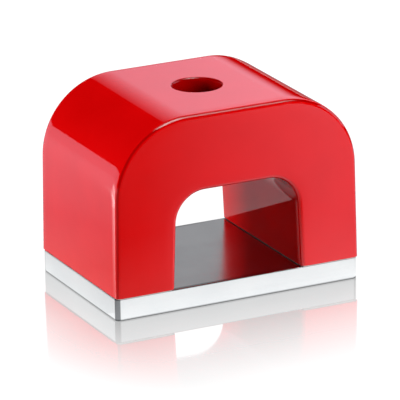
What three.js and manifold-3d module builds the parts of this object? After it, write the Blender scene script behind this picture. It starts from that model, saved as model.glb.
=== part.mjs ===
// Cast Alnico horseshoe magnet with its keeper, in millimetres, +Z up, standing on the keeper.
// The origin is the centre of the keeper's underside; +X runs across the two poles.
//
// Three pieces:
//   keeper_plate    the flat steel bar that closes the magnetic circuit across the two poles
//   magnet_casting  the grey Alnico horseshoe, with ground pole faces and a bore through the crown
//   enamel_coat     the stoved red enamel on the casting, bare at the pole faces

import * as THREE from 'three';
import { mergeVertices } from 'three/addons/utils/BufferGeometryUtils.js';
import Module from 'manifold-3d';

const wasm = await Module();
wasm.setup();

// ---- driving dimensions -------------------------------------------------------------------

const magnet = {
  width: 45,            // across the legs, at the pole faces
  depth: 30,
  height: 29.7,         // pole faces to crown
  flankDraft: 1.12,     // degrees, the outer flanks lean in towards the crown
  shoulderRadius: 13.15,
  edgeRadius: 0.8,      // round along the front and back outline
};

const opening = {
  width: 23.4,          // between the legs, at the pole faces
  height: 16.4,         // pole faces to the underside of the crown
  wallDraft: 2.5,       // degrees, the walls lean in towards the crown
  cornerRadius: 5.3,
};

const bore = {
  radius: 4.1,
  mouthRadius: 0.4,     // round at both mouths
};

const enamel = {
  thickness: 0.2,
  gap: 0.05,            // clearance to the casting, so that the two solids never share a face
  rimHeight: 0.15,      // the enamel stops this far above the ground pole faces
};

const keeper = {
  width: 44.8,
  depth: 29.2,
  thickness: 3.8,
  cornerRadius: 0.8,    // the four upright corners
  edgeBreak: 0.2,       // chamfer round both large faces
};

// ---- facets and overruns of the cutting tools ---------------------------------------------

const arcSteps = 8;     // an outline's arc takes two facets for each of these
const cornerSteps = 2;
const edgeSteps = 3;
const boreSteps = 40;
const mouthSteps = 3;
const overrun = 3;      // how far a cut runs past the face that it opens
const weld = 1e-4;      // corners closer than this are one corner

const rad = THREE.MathUtils.degToRad;

// ---- joining and cutting ------------------------------------------------------------------

function toSolid(geometry) {
  const bare = geometry.clone();
  bare.deleteAttribute('normal');
  bare.deleteAttribute('uv');
  const merged = mergeVertices(bare, weld);
  return new wasm.Manifold(new wasm.Mesh({
    numProp: 3,
    vertProperties: new Float32Array(merged.attributes.position.array),
    triVerts: new Uint32Array(merged.index.array),
  }));
}

function toGeometry(solid) {
  const mesh = solid.getMesh();
  const geometry = new THREE.BufferGeometry();
  geometry.setAttribute('position', new THREE.BufferAttribute(mesh.vertProperties, 3));
  geometry.setIndex(new THREE.BufferAttribute(mesh.triVerts, 1));
  geometry.computeVertexNormals();
  return geometry;
}

// ---- the horseshoe ------------------------------------------------------------------------

// A leg's side: a line through (foot, 0) that leans in by the draft, met by an arc that turns
// it over to a level line at the given height. An inset moves the line and the arc sideways,
// about the same arc centre: positive shrinks the outline, negative widens it.
function legSide(foot, height, radius, draft, inset) {
  const lean = rad(draft);
  const arcHeight = height - radius;
  const arcX = foot - Math.tan(lean) * arcHeight - radius / Math.cos(lean);
  return {
    lean,
    arcX,
    arcHeight,
    arcRadius: radius - inset,
    xAt: (z) => foot - Math.tan(lean) * z - inset / Math.cos(lean),
  };
}

// The outline in x and height, run down past the pole faces so that they can be cut flat.
function horseshoeOutline(inset) {
  const out = legSide(magnet.width / 2, magnet.height, magnet.shoulderRadius,
    magnet.flankDraft, inset);
  const inn = legSide(opening.width / 2, opening.height, opening.cornerRadius,
    opening.wallDraft, -inset);
  const shape = new THREE.Shape();
  shape.absarc(out.arcX, out.arcHeight, out.arcRadius, out.lean, Math.PI / 2, false);
  shape.absarc(-out.arcX, out.arcHeight, out.arcRadius, Math.PI / 2, Math.PI - out.lean, false);
  shape.lineTo(-out.xAt(-overrun), -overrun);
  shape.lineTo(-inn.xAt(-overrun), -overrun);
  shape.absarc(-inn.arcX, inn.arcHeight, inn.arcRadius, Math.PI - inn.lean, Math.PI / 2, true);
  shape.absarc(inn.arcX, inn.arcHeight, inn.arcRadius, Math.PI / 2, inn.lean, true);
  shape.lineTo(inn.xAt(-overrun), -overrun);
  shape.lineTo(out.xAt(-overrun), -overrun);
  shape.closePath();
  return shape;
}

// A turned tool along +Z that bores the crown and rounds both mouths.
function boreCutter(inset) {
  const radius = bore.radius + inset;
  const mouth = bore.mouthRadius - inset;
  const top = magnet.height - inset;
  const bottom = opening.height + inset;
  const profile = [new THREE.Vector2(0, bottom - overrun)];
  const flare = (angle) => radius + mouth * (1 - Math.cos(angle));
  profile.push(new THREE.Vector2(radius + mouth, bottom - overrun));
  for (let i = mouthSteps; i >= 0; i -= 1) {
    const angle = (Math.PI / 2) * (i / mouthSteps);
    profile.push(new THREE.Vector2(flare(angle), bottom + mouth * (1 - Math.sin(angle))));
  }
  for (let i = 0; i <= mouthSteps; i += 1) {
    const angle = (Math.PI / 2) * (i / mouthSteps);
    profile.push(new THREE.Vector2(flare(angle), top - mouth * (1 - Math.sin(angle))));
  }
  profile.push(new THREE.Vector2(radius + mouth, top + overrun));
  profile.push(new THREE.Vector2(0, top + overrun));
  const turned = new THREE.LatheGeometry(profile, boreSteps);
  turned.rotateX(Math.PI / 2);
  return toSolid(turned);
}

// The horseshoe with its bore and rounded outline, every surface moved in by the inset. Its
// legs still run below the pole faces, which are at height 0.
function horseshoe(inset) {
  const edge = magnet.edgeRadius - inset;
  const body = new THREE.ExtrudeGeometry(horseshoeOutline(inset), {
    depth: magnet.depth - 2 * inset - 2 * edge,
    curveSegments: arcSteps,
    bevelEnabled: true,
    bevelThickness: edge,
    bevelSize: edge,
    bevelOffset: -edge,
    bevelSegments: edgeSteps,
  });
  body.translate(0, 0, edge + inset - magnet.depth / 2);
  body.rotateX(Math.PI / 2);
  return toSolid(body).subtract(boreCutter(inset));
}

// Everything below the given height, for cutting the legs off flat.
function below(height) {
  const box = new THREE.BoxGeometry(2 * magnet.width, 2 * magnet.depth, 2 * overrun);
  box.translate(0, 0, height - overrun);
  return toSolid(box);
}

// ---- the pieces ---------------------------------------------------------------------------

function makeKeeperPlate() {
  const x = keeper.width / 2;
  const y = keeper.depth / 2;
  const r = keeper.cornerRadius;
  const outline = new THREE.Shape();
  outline.absarc(x - r, y - r, r, 0, Math.PI / 2, false);
  outline.absarc(r - x, y - r, r, Math.PI / 2, Math.PI, false);
  outline.absarc(r - x, r - y, r, Math.PI, 1.5 * Math.PI, false);
  outline.absarc(x - r, r - y, r, 1.5 * Math.PI, 2 * Math.PI, false);
  outline.closePath();
  const geometry = new THREE.ExtrudeGeometry(outline, {
    depth: keeper.thickness - 2 * keeper.edgeBreak,
    curveSegments: cornerSteps,
    bevelEnabled: true,
    bevelThickness: keeper.edgeBreak,
    bevelSize: keeper.edgeBreak,
    bevelOffset: -keeper.edgeBreak,
    bevelSegments: 1,
  });
  geometry.translate(0, 0, keeper.edgeBreak);
  const material = new THREE.MeshStandardMaterial({ color: 0xdfe3e6, roughness: 0.22, metalness: 1 });
  const mesh = new THREE.Mesh(geometry, material);
  mesh.name = 'keeper_plate';
  return mesh;
}

function makeMagnetCasting() {
  const solid = horseshoe(enamel.thickness + enamel.gap).subtract(below(0));
  const material = new THREE.MeshStandardMaterial({ color: 0x8d8c89, roughness: 0.38, metalness: 1 });
  const mesh = new THREE.Mesh(toGeometry(solid), material);
  mesh.name = 'magnet_casting';
  return mesh;
}

function makeEnamelCoat() {
  const shell = horseshoe(0).subtract(horseshoe(enamel.thickness));
  const solid = shell.subtract(below(enamel.rimHeight));
  const material = new THREE.MeshStandardMaterial({ color: 0xc80509, roughness: 0.08, metalness: 0 });
  const mesh = new THREE.Mesh(toGeometry(solid), material);
  mesh.name = 'enamel_coat';
  return mesh;
}

// ---- assembly -----------------------------------------------------------------------------

const coatedMagnet = new THREE.Group();
coatedMagnet.add(makeMagnetCasting(), makeEnamelCoat());
coatedMagnet.position.z = keeper.thickness;

const model = new THREE.Group();
model.add(makeKeeperPlate(), coatedMagnet);

export default model;
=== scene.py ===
"""Cast Alnico horseshoe magnet in glossy red enamel, standing on its plated keeper.

Every length is in millimetres until an object is made, which is in metres like the frame.
"""

import math

import bmesh
import bpy
from mathutils import Matrix, Vector
from mathutils.geometry import tessellate_polygon


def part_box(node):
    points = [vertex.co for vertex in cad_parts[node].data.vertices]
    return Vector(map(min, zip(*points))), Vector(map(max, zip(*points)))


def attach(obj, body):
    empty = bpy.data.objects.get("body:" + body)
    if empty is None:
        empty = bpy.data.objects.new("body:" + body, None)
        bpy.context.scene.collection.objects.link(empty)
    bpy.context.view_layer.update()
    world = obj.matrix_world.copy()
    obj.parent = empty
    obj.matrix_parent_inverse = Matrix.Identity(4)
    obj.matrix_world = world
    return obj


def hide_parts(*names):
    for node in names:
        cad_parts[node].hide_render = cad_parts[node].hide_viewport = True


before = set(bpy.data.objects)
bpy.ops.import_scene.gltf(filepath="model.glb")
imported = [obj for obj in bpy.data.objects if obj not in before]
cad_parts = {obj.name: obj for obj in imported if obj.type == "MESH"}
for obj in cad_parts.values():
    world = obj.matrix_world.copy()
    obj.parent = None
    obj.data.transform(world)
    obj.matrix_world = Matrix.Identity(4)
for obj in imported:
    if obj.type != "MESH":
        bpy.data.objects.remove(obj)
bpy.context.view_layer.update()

MM = 0.001
WHITE = (1, 1, 1, 1)

# ---- sizes: the outer ones from the frame, the rest are the horseshoe's own ----------------

coat_low, coat_high = (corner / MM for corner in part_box("enamel_coat"))
cast_low, cast_high = (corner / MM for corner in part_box("magnet_casting"))
plate_low, plate_high = (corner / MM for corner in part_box("keeper_plate"))

POLE_Z = cast_low.z                          # the pole faces, on the keeper
WIDTH = 45.0                                 # at the pole faces; the draft takes it in above
DEPTH = coat_high.y - coat_low.y
HEIGHT = coat_high.z - POLE_Z
FLANK_DRAFT = math.radians(1.12)
SHOULDER_RADIUS = 13.15
EDGE_RADIUS = 0.8
SOFT_REACH = 1.6                             # each edge starts to bend this far before its round
SOFT_TURN = math.radians(4.0)                # and has turned this much where the round starts

WINDOW_WIDTH = 23.4
WINDOW_HEIGHT = 16.4
WALL_DRAFT = math.radians(2.5)
WINDOW_RADIUS = 5.3

BORE_RADIUS = 4.1
MOUTH_RADIUS = 0.4

ENAMEL = 0.2                                 # coat thickness
CASTING_INSET = (coat_high.z - cast_high.z)  # coat and its clearance
RIM_HEIGHT = coat_low.z - POLE_Z             # the enamel stops short of the ground pole faces
BEAD_DROP = 0.06                             # the round end of the coat above the pole faces
POLE_EDGE = 0.06                             # break on the ground pole faces' edges

KEEPER_CORNER = 0.8
KEEPER_EDGE = 0.2

SHOULDER_STEPS = 48
WINDOW_STEPS = 24
EDGE_STEPS = 8
SOFT_STEPS = 3
BEAD_STEPS = 6
BORE_STEPS = 96


# ---- mesh building -------------------------------------------------------------------------

class Skin:
    """Faces over shared corners. A corner is a point, its exact normal and its edge mask."""

    def __init__(self):
        self.points = []
        self.normals = []
        self.edges = []
        self.faces = []
        self.known = {}

    def corner(self, point, normal, edge=0.0):
        key = tuple(round(c, 4) + 0.0 for c in point)
        if key not in self.known:
            self.known[key] = len(self.points)
            self.points.append(Vector(point))
            self.normals.append(Vector(normal).normalized())
            self.edges.append(edge)
        return self.known[key]

    def face(self, corners):
        ring = [c for i, c in enumerate(corners) if c != corners[i - 1]]
        if len(ring) > 2:
            self.faces.append(ring)

    def strip(self, rows, closed=False):
        """Quads between rows of corners. Each row is a list of (point, normal, edge)."""
        ids = [[self.corner(*c) for c in row] for row in rows]
        for low, high in zip(ids, ids[1:]):
            last = len(low) if closed else len(low) - 1
            for i in range(last):
                j = (i + 1) % len(low)
                self.face([low[i], low[j], high[j], high[i]])

    def flat(self, loops, normal):
        """Fills the area between closed loops of points in one plane."""
        points = [p for loop in loops for p in loop]
        ids = [self.corner(p, normal) for p in points]
        for a, b, c in tessellate_polygon([[Vector(p) for p in loop] for loop in loops]):
            self.face([ids[a], ids[b], ids[c]])

    def add(self, other, inside_out=False):
        """Takes in another skin's faces, turned to face the other way if it lines this one."""
        sign = -1 if inside_out else 1
        corners = zip(other.points, other.normals, other.edges)
        ids = [self.corner(p, sign * n, e) for p, n, e in corners]
        for f in other.faces:
            self.face([ids[i] for i in f])

    def make(self, name, material, lift=0.0):
        """A mesh object that faces outwards, raised by the lift, with its edge mask."""
        mesh = bpy.data.meshes.new(name)
        points = [(p + Vector((0, 0, lift))) * MM for p in self.points]
        mesh.from_pydata(points, [], self.faces)
        for polygon in mesh.polygons:
            aim = sum((self.normals[i] for i in polygon.vertices), Vector())
            if polygon.normal.dot(aim) < 0:
                polygon.flip()
        mesh.update()
        mesh.shade_smooth()
        mesh.normals_split_custom_set_from_vertices(self.normals)
        mask = mesh.attributes.new("edge", "FLOAT", "POINT")
        mask.data.foreach_set("value", self.edges)
        mesh.materials.append(material)
        piece = bpy.data.objects.new(name, mesh)
        bpy.context.scene.collection.objects.link(piece)
        return piece


def turn(count, start=0.0, end=math.pi / 2):
    """Angles from start to end in the given number of steps."""
    return [start + (end - start) * i / count for i in range(count + 1)]


# ---- the horseshoe -------------------------------------------------------------------------

def side_path(foot, height, radius, draft, steps, inset, cut):
    """Half of an outline, from the foot to the level top: (x, z, normal x, normal z).

    The line leans in by the draft and the arc turns it level; the inset moves both inwards.
    """
    arc_z = height - radius
    arc_x = foot - math.tan(draft) * arc_z - radius / math.cos(draft)
    foot_x = foot - math.tan(draft) * cut - inset / math.cos(draft)
    path = [(foot_x, cut, math.cos(draft), math.sin(draft))]
    for angle in turn(steps, draft):
        c, s = math.cos(angle), math.sin(angle)
        path.append((arc_x + (radius - inset) * c, arc_z + (radius - inset) * s, c, s))
    return path


def mirrored(path):
    return path + [(-x, z, -nx, nz) for x, z, nx, nz in reversed(path)]


def outer_path(inset, cut):
    return mirrored(side_path(WIDTH / 2, HEIGHT, SHOULDER_RADIUS, FLANK_DRAFT,
                              SHOULDER_STEPS, inset, cut))


def window_path(inset, cut):
    path = mirrored(side_path(WINDOW_WIDTH / 2, WINDOW_HEIGHT, WINDOW_RADIUS, WALL_DRAFT,
                              WINDOW_STEPS, -inset, cut))
    return [(x, z, -nx, -nz) for x, z, nx, nz in path]


def across(inset):
    """The rounds at the front and back of a wall: (y, extra inset, wall share, y share, edge).

    Each is a tight arc between two very wide ones, as a thick coat leaves it.
    """
    edge = EDGE_RADIUS - inset
    front = inset - DEPTH / 2
    wide = SOFT_REACH / math.sin(SOFT_TURN)
    dip = wide * (1 - math.cos(SOFT_TURN))
    tight = (edge - dip) / (math.cos(SOFT_TURN) - math.sin(SOFT_TURN))
    half = []
    for a in turn(SOFT_STEPS, 0, SOFT_TURN)[:-1]:
        y = front + wide * (1 - math.cos(a))
        half.append((a, y, edge + SOFT_REACH - wide * math.sin(a)))
    for a in turn(EDGE_STEPS, SOFT_TURN, math.pi / 2 - SOFT_TURN):
        y = front + dip + tight * (math.cos(SOFT_TURN) - math.cos(a))
        half.append((a, y, edge - tight * (math.sin(a) - math.sin(SOFT_TURN))))
    for a in turn(SOFT_STEPS, math.pi / 2 - SOFT_TURN)[1:]:
        y = front + edge + SOFT_REACH - wide * math.cos(a)
        half.append((a, y, wide * (1 - math.sin(a))))
    steps = [(y, more, math.sin(a), -math.cos(a), math.sin(2 * a)) for a, y, more in half]
    return steps + [(-y, more, s, -c, e) for y, more, s, c, e in reversed(steps)]


def wall_rows(path_of, inset, cut, shade_scale=1.0):
    """A wall's rows of corners from front to back; the last argument scales the painted edge shade.
    """
    return [
        [((x, y, z), (nx * share, facing, nz * share), edge * shade_scale)
         for x, z, nx, nz in path_of(inset + more, cut)]
        for y, more, share, facing, edge in across(inset)
    ]


def flat_part(rows):
    """Corners of the level stretch in the middle of the rows that lie between the two rounds."""
    middle = len(rows[0]) // 2
    front, back = rows[len(rows) // 2 - 1], rows[len(rows) // 2]
    return [front[middle - 1][0], front[middle][0], back[middle][0], back[middle - 1][0]]


def bore_rows(inset):
    """Rings of the bore from its lower mouth to its upper one."""
    radius = BORE_RADIUS + inset
    mouth = MOUTH_RADIUS - inset
    low, high = WINDOW_HEIGHT + inset, HEIGHT - inset
    rings = []
    for a in turn(EDGE_STEPS):
        c, s = math.cos(a), math.sin(a)
        rings.append((radius + mouth * (1 - s), low + mouth * (1 - c), s, -c, math.sin(2 * a)))
    rings += [(r, low + high - z, s, -c, e) for r, z, s, c, e in reversed(rings)]
    rows = []
    for r, z, inward, upward, edge in rings:
        row = []
        for i in range(BORE_STEPS):
            t = 2 * math.pi * i / BORE_STEPS
            c, s = math.cos(t), math.sin(t)
            row.append(((r * c, r * s, z), (-c * inward, -s * inward, upward), edge))
        rows.append(row)
    return rows


def wall_skin(skin, rows, mouth, up):
    """A wall's strips, with its level stretch left for the bore's mouth."""
    middle = len(rows[0]) // 2
    for k, (a, b) in enumerate(zip(rows, rows[1:])):
        if k == len(rows) // 2 - 1:
            skin.strip([a[:middle], b[:middle]])
            skin.strip([a[middle:], b[middle:]])
        else:
            skin.strip([a, b])
    skin.flat([flat_part(rows), [p for p, _, _ in mouth]], (0, 0, up))


def horseshoe_skin(inset, cut):
    """Every surface of the horseshoe moved in by the inset, open at the feet, at height cut."""
    skin = Skin()
    outer = wall_rows(outer_path, inset, cut)
    # The window's rounds carry no painted edge shade.
    window = wall_rows(window_path, inset, cut, shade_scale=0.0)
    bore = bore_rows(inset)
    wall_skin(skin, outer, bore[-1], 1)
    wall_skin(skin, window, bore[0], -1)
    skin.strip(bore, closed=True)
    for row, facing in ((0, -1), (-1, 1)):
        loop = [p for p, _, _ in outer[row]] + [p for p, _, _ in reversed(window[row])]
        skin.flat([loop], (0, facing, 0))
    return skin


def leg_ring(inset, cut, side):
    """The section of one leg at height cut, as (point, outward normal) all the way round."""
    outer = wall_rows(outer_path, inset, cut)
    window = wall_rows(window_path, inset, cut)
    end = 0 if side > 0 else -1
    ring = [row[end] for row in outer] + [row[end] for row in reversed(window)]
    return [(p, Vector((n[0], n[1], 0)).normalized()) for p, n, _ in ring]


def bead(skin, sections, side):
    """A round at a leg's foot: sections are (inset, height, outward share, upward share)."""
    rows = []
    for inset, height, outward, upward in sections:
        ring = leg_ring(inset, height, side)
        rows.append([(p, n * outward + Vector((0, 0, upward)), 0.0) for p, n in ring])
    skin.strip(rows, closed=True)
    return [p for p, _, _ in rows[-1]]


def make_coat(material):
    half = ENAMEL / 2
    cut = RIM_HEIGHT + BEAD_DROP
    skin = horseshoe_skin(0.0, cut)
    skin.add(horseshoe_skin(ENAMEL, cut), inside_out=True)
    sections = [(half * (1 - math.cos(a)), cut - BEAD_DROP * math.sin(a), math.cos(a), -math.sin(a))
                for a in turn(2 * BEAD_STEPS, 0, math.pi)]
    for side in (1, -1):
        bead(skin, sections, side)
    return skin.make("red_enamel_coat", material, POLE_Z)


def make_casting(material):
    skin = horseshoe_skin(CASTING_INSET, POLE_EDGE)
    sections = [(CASTING_INSET + POLE_EDGE * (1 - math.cos(a)), POLE_EDGE * (1 - math.sin(a)),
                 math.cos(a), -math.sin(a)) for a in turn(BEAD_STEPS)]
    for side in (1, -1):
        skin.flat([bead(skin, sections, side)], (0, 0, -1))
    return skin.make("alnico_casting", material, POLE_Z)


# ---- the keeper ----------------------------------------------------------------------------

def keeper_ring(inset, z, outward, upward, painted_shade=0.0):
    """The plate's rounded outline, moved in by the inset, at height z.

    Its edge mask, which places the keeper's painted shade, is highest on the upright corners and
    never below the last argument.
    """
    half_x, half_y = plate_high.x - KEEPER_CORNER, plate_high.y - KEEPER_CORNER
    radius = KEEPER_CORNER - inset
    row = []
    for quarter, (sx, sy) in enumerate(((1, 1), (-1, 1), (-1, -1), (1, -1))):
        for a in turn(EDGE_STEPS):
            t = a + quarter * math.pi / 2
            c, s = math.cos(t), math.sin(t)
            point = (sx * half_x + radius * c, sy * half_y + radius * s, z)
            mask = max(painted_shade, math.sin(2 * a))
            row.append((point, (c * outward, s * outward, upward), mask))
    return row


def make_keeper(material):
    """Rings from the underside to the top face, with a round along each edge."""
    skin = Skin()
    rows = []
    for a in turn(BEAD_STEPS):
        c, s = math.cos(a), math.sin(a)
        inset, z = KEEPER_EDGE * (1 - s), plate_low.z + KEEPER_EDGE * (1 - c)
        # The lower round's mask rises towards the bottom, for the painted contact-shadow line.
        rows.append(keeper_ring(inset, z, s, -c, painted_shade=c))
    for a in turn(BEAD_STEPS):
        c, s = math.cos(a), math.sin(a)
        rows.append(keeper_ring(KEEPER_EDGE * (1 - c), plate_high.z - KEEPER_EDGE * (1 - s), c, s))
    skin.strip(rows, closed=True)
    skin.flat([[p for p, _, _ in rows[0]]], (0, 0, -1))
    skin.flat([[p for p, _, _ in rows[-1]]], (0, 0, 1))
    return skin.make("plated_keeper", material)


# ---- node helpers --------------------------------------------------------------------------

class Nodes:
    """Short calls for a material's node tree."""

    def __init__(self, tree):
        self.tree = tree
        tree.nodes.clear()

    def add(self, kind, inputs=None, **settings):
        node = self.tree.nodes.new(kind)
        for name, value in settings.items():
            setattr(node, name, value)
        for name, value in (inputs or {}).items():
            if isinstance(value, bpy.types.NodeSocket):
                self.tree.links.new(value, node.inputs[name])
            else:
                node.inputs[name].default_value = value
        return node

    def noise(self, vector, scale, detail=2.0, roughness=0.5):
        return self.add("ShaderNodeTexNoise", {"Vector": vector, "Scale": scale, "Detail": detail,
                                               "Roughness": roughness}).outputs["Fac"]

    def ramp(self, value, low, high, to_low=0.0, to_high=1.0):
        return self.add("ShaderNodeMapRange", {"Value": value, "From Min": low, "From Max": high,
                                               "To Min": to_low, "To Max": to_high}).outputs["Result"]

    def math(self, operation, a, b=0.0):
        return self.add("ShaderNodeMath", {0: a, 1: b}, operation=operation).outputs[0]

    def mix(self, factor, a, b):
        return self.add("ShaderNodeMix", {"Factor": factor, 6: a, 7: b}, data_type="RGBA").outputs[2]

    def scaled(self, vector, scale):
        return self.add("ShaderNodeMapping", {"Vector": vector, "Scale": scale}).outputs["Vector"]

    def bump(self, height, distance, normal=None):
        inputs = {"Height": height, "Distance": distance, "Strength": 1.0}
        if normal is not None:
            inputs["Normal"] = normal
        return self.add("ShaderNodeBump", inputs).outputs["Normal"]

    def attribute(self, name):
        return self.add("ShaderNodeAttribute", attribute_name=name).outputs["Fac"]

    def position(self):
        """The point in the piece's own frame, in metres."""
        return self.add("ShaderNodeTexCoord").outputs["Object"]

    def split(self, vector):
        return self.add("ShaderNodeSeparateXYZ", {"Vector": vector}).outputs

    def glow(self, strength):
        return self.add("ShaderNodeEmission", {"Color": WHITE, "Strength": strength}).outputs[0]

    def principled(self, **inputs):
        named = {name.replace("_", " "): value for name, value in inputs.items()}
        return self.add("ShaderNodeBsdfPrincipled", named).outputs[0]

    def surface(self, shader):
        self.add("ShaderNodeOutputMaterial", {"Surface": shader})


def new_material(name):
    material = bpy.data.materials.new(name)
    material.use_nodes = True
    return material, Nodes(material.node_tree)


# ---- materials -----------------------------------------------------------------------------

def red_enamel():
    """Clouded red with orange peel, with painted shade: a dark line along the outer rounds and a
    darkened bore.
    """
    material, n = new_material("red_enamel")
    position = n.position()
    clouds = n.noise(position, 90.0, 3.0)
    red = n.mix(n.ramp(clouds, 0.35, 0.65), (0.78, 0.0008, 0.0012, 1), (0.83, 0.0012, 0.002, 1))
    level = n.add("ShaderNodeVectorMath", {0: position, 1: (1, 1, 0)}, operation="MULTIPLY")
    radius = n.add("ShaderNodeVectorMath", {0: level.outputs[0]}, operation="LENGTH").outputs["Value"]
    # Painted shade: inside the bore the enamel is darkened, as the bore lies in shade.
    in_bore = n.ramp(radius, (BORE_RADIUS + MOUTH_RADIUS / 2) * MM, (BORE_RADIUS + MOUTH_RADIUS) * MM,
                     1.0, 0.0)
    # Painted shade: a dark red line along the middle of the outer rounds.
    painted_edge_shade = n.math("MULTIPLY", n.ramp(n.attribute("edge"), 0.72, 0.98), 0.55)
    dark = n.math("MAXIMUM", painted_edge_shade, n.math("MULTIPLY", in_bore, 0.72))
    colour = n.mix(dark, red, (0.16, 0.0, 0.0, 1))
    gloss = n.ramp(n.noise(position, 260.0, 4.0), 0.3, 0.7, 0.035, 0.06)
    orange_peel = n.bump(n.noise(position, 700.0, 1.0), 0.0000012)
    n.surface(n.principled(Base_Color=colour, Roughness=gloss, IOR=1.5, Normal=orange_peel))
    return material


def ground_alnico():
    """Grinding lines along X, with the dark pits of a casting."""
    material, n = new_material("ground_alnico")
    position = n.position()
    lines = n.noise(n.scaled(position, (90.0, 5200.0, 900.0)), 1.0, 3.0)
    pits = n.ramp(n.noise(position, 900.0, 4.0), 0.27, 0.34)
    tone = n.mix(n.ramp(lines, 0.3, 0.7), (0.42, 0.41, 0.39, 1), (0.60, 0.59, 0.57, 1))
    colour = n.mix(pits, (0.13, 0.125, 0.12, 1), tone)
    rough = n.ramp(lines, 0.3, 0.7, 0.28, 0.46)
    normal = n.bump(pits, 0.00003, n.bump(lines, 0.000003))
    n.surface(n.principled(Base_Color=colour, Metallic=1.0, Roughness=rough, Normal=normal))
    return material


def plated_steel():
    """Bright plating brushed along X, satin on the top face, with painted shade on the left end's
    upright corners and a painted contact-shadow line along the lower edge.
    """
    material, n = new_material("keeper_steel")
    position = n.position()
    brush = n.noise(n.scaled(position, (60.0, 4000.0, 4000.0)), 1.0, 3.0)
    clouds = n.ramp(n.noise(position, 120.0, 3.0), 0.3, 0.7)
    axes = n.split(position)
    bright = n.mix(clouds, (0.77, 0.795, 0.81, 1), (0.82, 0.84, 0.85, 1))
    satin = n.mix(clouds, (0.48, 0.49, 0.52, 1), (0.54, 0.55, 0.58, 1))
    on_top = n.ramp(axes["Z"], (plate_high.z - 0.02) * MM, plate_high.z * MM)
    left = n.ramp(axes["X"], 0.0, 10 * MM, 1.0, 0.0)
    low = n.ramp(axes["Z"], KEEPER_EDGE * MM, 2 * KEEPER_EDGE * MM, 1.0, 0.0)
    # Painted shade: darkens the rounded corners of the left end and a thin line along the bottom
    # edge, which stands in for a contact shadow.
    painted_shade = n.math("MULTIPLY", n.ramp(n.attribute("edge"), 0.0, 0.4), n.math("MAXIMUM", left, low))
    colour = n.mix(painted_shade, n.mix(on_top, bright, satin), (0.22, 0.23, 0.24, 1))
    rough = n.ramp(brush, 0.3, 0.7, 0.17, 0.25)
    normal = n.bump(brush, 0.0000006)
    n.surface(n.principled(Base_Color=colour, Metallic=1.0, Roughness=rough, Normal=normal))
    return material


# ---- studio --------------------------------------------------------------------------------

FLOOR_SIZE = 4000.0
FLOOR_SHINE = 0.58                           # share of gloss in the floor, at the object's foot
FLOOR_GLOW = 1.0
GLOSS_REACH = {"X": 22.0, "Y": 40.0}         # how far from the keeper the gloss fades out
DOME_RADIUS = 1900.0
DOME_GLOW = 1.0

CENTRE_Z = plate_high.z + HEIGHT / 2
FAR = 900.0                                  # distance of the softboxes, unless one says otherwise
COOL = (1.0, 0.94, 1.15)

CAMERA_AZIMUTH, CAMERA_ELEVATION, CAMERA_ROLL = (math.radians(a) for a in (-25.9, 18.54, -1.0))
CAMERA_AIM = Vector((0.23, 0, 13.18))
CAMERA_DISTANCE = 738.4
CAMERA_LENS = 395.4


def floor_material():
    """White and glowing, and glossy round the foot of the object only."""
    material, n = new_material("floor")
    axes = n.split(n.position())
    squares = []
    for axis, half in (("X", plate_high.x), ("Y", plate_high.y)):
        outside = n.math("SUBTRACT", n.math("ABSOLUTE", axes[axis]), half * MM)
        share = n.math("DIVIDE", n.math("MAXIMUM", outside, 0.0), GLOSS_REACH[axis] * MM)
        squares.append(n.math("MULTIPLY", share, share))
    distance = n.math("SQRT", n.math("ADD", *squares))
    gloss = n.math("POWER", n.ramp(distance, 0.0, 1.0, 1.0, 0.0), 1.1)
    blur = n.ramp(distance, 0.0, 1.0, 0.015, 0.10)
    diffuse = n.add("ShaderNodeBsdfDiffuse", {"Color": (0.12, 0.12, 0.12, 1)})
    matt = n.add("ShaderNodeAddShader", {0: diffuse.outputs[0], 1: n.glow(FLOOR_GLOW)})
    shine = n.add("ShaderNodeBsdfGlossy", {"Color": WHITE, "Roughness": blur})
    shares = {0: n.math("MULTIPLY", gloss, FLOOR_SHINE), 1: matt.outputs[0], 2: shine.outputs[0]}
    n.surface(n.add("ShaderNodeMixShader", shares).outputs[0])
    return material


def place_in_scene(name, mesh):
    thing = bpy.data.objects.new(name, mesh)
    bpy.context.scene.collection.objects.link(thing)
    return thing


def group(name, *objects):
    """Objects that a light is for."""
    made = bpy.data.collections.new(name)
    for o in objects:
        made.objects.link(o)
    return made


def make_floor():
    half = FLOOR_SIZE / 2 * MM
    mesh = bpy.data.meshes.new("floor")
    corners = [(-half, -half, 0), (half, -half, 0), (half, half, 0), (-half, half, 0)]
    mesh.from_pydata(corners, [], [(0, 1, 2, 3)])
    mesh.materials.append(floor_material())
    floor = place_in_scene("floor", mesh)
    return floor


def make_dome(receivers):
    """A white backdrop all round, seen by the camera and in the floor's gloss, and nowhere else."""
    mesh = bpy.data.meshes.new("backdrop")
    shape = bmesh.new()
    bmesh.ops.create_uvsphere(shape, u_segments=48, v_segments=24, radius=DOME_RADIUS * MM)
    below = [v for v in shape.verts if v.co.z < -MM]
    bmesh.ops.delete(shape, geom=below, context="VERTS")
    shape.to_mesh(mesh)
    shape.free()
    material, n = new_material("backdrop")
    n.surface(n.glow(DOME_GLOW))
    mesh.materials.append(material)
    dome = place_in_scene("backdrop", mesh)
    dome.light_linking.receiver_collection = receivers
    dome.visible_diffuse = False
    dome.visible_shadow = False


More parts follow.
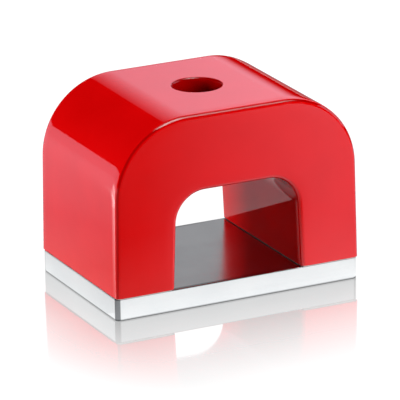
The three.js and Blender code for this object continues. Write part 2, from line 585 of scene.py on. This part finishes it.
def make_camera():
    """A long lens from the front left, a little above."""
    across = Vector((math.cos(CAMERA_AZIMUTH), math.sin(CAMERA_AZIMUTH), 0))
    away = Vector((math.sin(CAMERA_AZIMUTH), -math.cos(CAMERA_AZIMUTH), 0))
    back = away * math.cos(CAMERA_ELEVATION) + Vector((0, 0, math.sin(CAMERA_ELEVATION)))
    upright = back.cross(across)
    c, s = math.cos(CAMERA_ROLL), math.sin(CAMERA_ROLL)
    right, up = c * across + s * upright, c * upright - s * across
    data = bpy.data.cameras.new("camera")
    data.sensor_width = 36.0
    data.lens = CAMERA_LENS
    data.clip_start, data.clip_end = 0.01, 20.0
    camera = place_in_scene("camera", data)
    turned = Matrix((right, up, back)).transposed().to_4x4()
    camera.matrix_world = Matrix.Translation((CAMERA_AIM + back * CAMERA_DISTANCE) * MM) @ turned
    bpy.context.scene.camera = camera


# ---- lights --------------------------------------------------------------------------------

def towards(azimuth, elevation):
    """Unit vector; azimuth turns from +Y towards +X, in degrees."""
    a, e = math.radians(azimuth), math.radians(elevation)
    return Vector((math.sin(a) * math.cos(e), math.cos(a) * math.cos(e), math.sin(e)))


def area_light(name, place, back, width, height, radiance, receivers=None,
               diffuse=True, glossy=True, fall=None, tint=(1, 1, 1)):
    """A softbox of the given radiance at a place, with its back turned to a direction.

    fall(nodes, u, v) makes its brightness vary. Seen from the object, u runs from 0 at the right
    to 1 at the left, and v from 0 to 1 upwards, or away from the object on a table.
    """
    data = bpy.data.lights.new(name, "AREA")
    data.shape = "RECTANGLE"
    data.size = width * MM
    data.size_y = height * MM
    data.energy = radiance * math.pi * width * MM * height * MM
    data.color = tint
    if fall is not None:
        data.use_nodes = True
        n = Nodes(data.node_tree)
        sides = n.split(n.add("ShaderNodeNewGeometry").outputs["Parametric"])
        n.add("ShaderNodeOutputLight", {"Surface": n.glow(fall(n, sides["X"], sides["Y"]))})
    light = place_in_scene(name, data)
    light.location = place * MM
    light.rotation_mode = "QUATERNION"
    light.rotation_quaternion = back.to_track_quat("Z", "Y")
    light.visible_diffuse = diffuse
    light.visible_glossy = glossy
    if receivers is not None:
        light.light_linking.receiver_collection = receivers
    return light


def softbox(name, azimuth, elevation, width, height, radiance, distance=FAR, **settings):
    """A softbox that faces the object from the given direction."""
    back = towards(azimuth, elevation)
    place = Vector((0, 0, CENTRE_Z)) + back * distance
    area_light(name, place, back, width, height, radiance, **settings)


def light_table(name, azimuth, start, across, width, length, radiance, lift=0.4, **settings):
    """A glowing sheet over the floor that runs out from the object, seen in reflections only.

    Two sheets that overlap need different lifts, because one in the plane of the other hides it.
    """
    out = towards(azimuth, 0)
    side = Vector((-out.y, out.x, 0))
    place = out * (start + length / 2) + side * across + Vector((0, 0, lift))
    light = area_light(name, place, Vector((0, 0, -1)), width, length, radiance,
                       diffuse=False, **settings)
    turned = Matrix((side, out, side.cross(out))).transposed()
    light.rotation_quaternion = turned.to_quaternion()


def crown_fall(n, u, v):
    """Even at the right, weak at the left, with a soft lower edge."""
    side = n.ramp(u, 1.0, 0.58, 0.12, 1.0)
    low = n.add("ShaderNodeMapRange", {"Value": v, "From Min": 0.0, "From Max": 0.36},
                interpolation_type="SMOOTHSTEP").outputs["Result"]
    return n.math("MULTIPLY", side, low)


def edge_fall(n, u, v):
    """Weaker at the left as seen from the object, the part that the crown's front round mirrors."""
    return n.ramp(u, 0.5, 0.8, 1.0, 0.4)


def flank_fall(n, u, v):
    """Dark at the object and brighter with distance."""
    away = n.math("MAXIMUM", n.math("SUBTRACT", n.math("MULTIPLY", v, FAR), 25.0), 0.0)
    near = n.math("EXPONENT", n.math("MULTIPLY", away, -1 / 60))
    return n.math("SUBTRACT", 1.0, n.math("MULTIPLY", near, 0.85))


def right_fall(n, u, v):
    """Bright at the object and dark at the far end."""
    return n.ramp(v, 0.4, 1.0, 1.0, 0.0)


def front_fall(n, u, v):
    """Soft along its right side."""
    return n.ramp(u, 0.0, 0.28)


def corner_fall(n, u, v):
    """Soft along its near side and at its far end, and brightest in between."""
    along = n.math("MULTIPLY", n.ramp(v, 0.0, 0.45, 0.85, 1.0), n.ramp(v, 0.6, 1.0, 1.0, 0.0))
    return n.math("MULTIPLY", n.ramp(u, 0.0, 0.9), along)


def far_corner_fall(n, u, v):
    """Soft along its near side and fading with distance."""
    return n.math("MULTIPLY", n.ramp(u, 0.0, 0.7), n.ramp(v, 0.5, 1.0, 1.0, 0.0))


def light_by_diffuse():
    """Light that shapes the object and is not seen in its gloss."""
    for name, azimuth, elevation, width, height, radiance, distance in (
        ("left", -80, 10, 500, 300, 16.5, FAR),
        ("right", 120, 45, 500, 500, 1.5, FAR),
        ("low_back", -30, 12, 500, 300, 0.7, FAR),
        ("back", 35, 25, 500, 400, 16.0, FAR),
        ("front_near", 152, 22, 150, 120, 10.6, 260),
    ):
        softbox(name, azimuth, elevation, width, height, radiance, distance, glossy=False)


def light_gloss_of_enamel(enamel):
    """What the enamel mirrors: boxes above the horizon and tables below it.

    The zenith box is the only one that the keeper and the floor mirror too.
    """
    tables = {"receivers": enamel, "tint": COOL}
    boxes = {"diffuse": False, **tables}
    softbox("zenith_box", 10, 86, 520, 420, 0.8, diffuse=False)
    softbox("edge_light", 150, 67, 700, 560, 9.0, receivers=enamel, diffuse=False, fall=edge_fall)
    softbox("crown_box", 31, 22, 620, 580, 1.14, fall=crown_fall, **boxes)
    softbox("right_box", 95, 15, 700, 400, 1.5, **boxes)
    behind_flank = towards(-27, 0)
    area_light("horizon", behind_flank * FAR + Vector((0, 0, 62)), behind_flank,
               1000, 124, 1.0, **boxes)
    light_table("flank_table", -27, 0, 195, 510, FAR, 1.0, fall=flank_fall, **tables)
    light_table("right_table", 28, 20, 0, 300, 150, 0.8, fall=right_fall, **tables)
    light_table("front_table", 154, 0, 38, 123, 300, 0.9, fall=front_fall, **tables)
    light_table("corner_table", -27, 0, 30.5, 8, 130, 3.5, lift=0.6, fall=corner_fall,
                receivers=enamel)
    light_table("far_corner_table", -33, 60, 27, 14, 240, 3.0, lift=0.8, fall=far_corner_fall,
                receivers=enamel)


def light_gloss_of_metal(metal):
    """What the keeper mirrors: a ring of boxes and a wide dim table."""
    boxes = {"receivers": metal, "diffuse": False}
    for name, azimuth, width, radiance in (
        ("plate_box", 30, 620, 0.5),
        ("plate_front", 165, 800, 0.5),
        ("plate_right", 95, 700, 0.5),
        ("plate_far_left", 232, 900, 0.4),
        ("plate_left", 285, 700, 0.4),
        ("plate_back", -4, 530, 0.45),
    ):
        softbox(name, azimuth, 22, width, 580, radiance, **boxes)
    above_end = towards(-26, 18.5)
    area_light("end_glow", Vector((-20, -9, 2)) + above_end * 110, above_end, 26, 60, 0.7, **boxes)
    light_table("metal_table", 0, -2000, 0, 4000, 4000, 0.43, lift=0.3, receivers=metal)
    light_table("plate_table", 154, 0, 0, 200, 120, 0.14, receivers=metal)


def make_world():
    """Black, so that only the dome and the lights are seen."""
    world = bpy.data.worlds.new("studio")
    world.use_nodes = True
    world.node_tree.nodes["Background"].inputs["Strength"].default_value = 0.0
    bpy.context.scene.world = world
    bpy.context.scene.view_settings.view_transform = "Standard"


# ---- the pieces and their studio -----------------------------------------------------------

coat = make_coat(red_enamel())
casting = make_casting(ground_alnico())
keeper = make_keeper(plated_steel())
for piece, node, body, slot in (
    (coat, "enamel_coat", "magnet", "red_enamel"),
    (casting, "magnet_casting", "magnet", "alnico"),
    (keeper, "keeper_plate", "keeper", "keeper_steel"),
):
    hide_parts(node)
    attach(piece, body)

# The glowing floor lights no piece: the tables stand in for it in the gloss.
floor = make_floor()
for_floor = group("for_floor", floor)
floor.light_linking.receiver_collection = for_floor
make_dome(for_floor)
make_camera()
light_by_diffuse()
light_gloss_of_enamel(group("for_enamel", coat))
light_gloss_of_metal(group("for_metal", keeper, casting))
make_world()
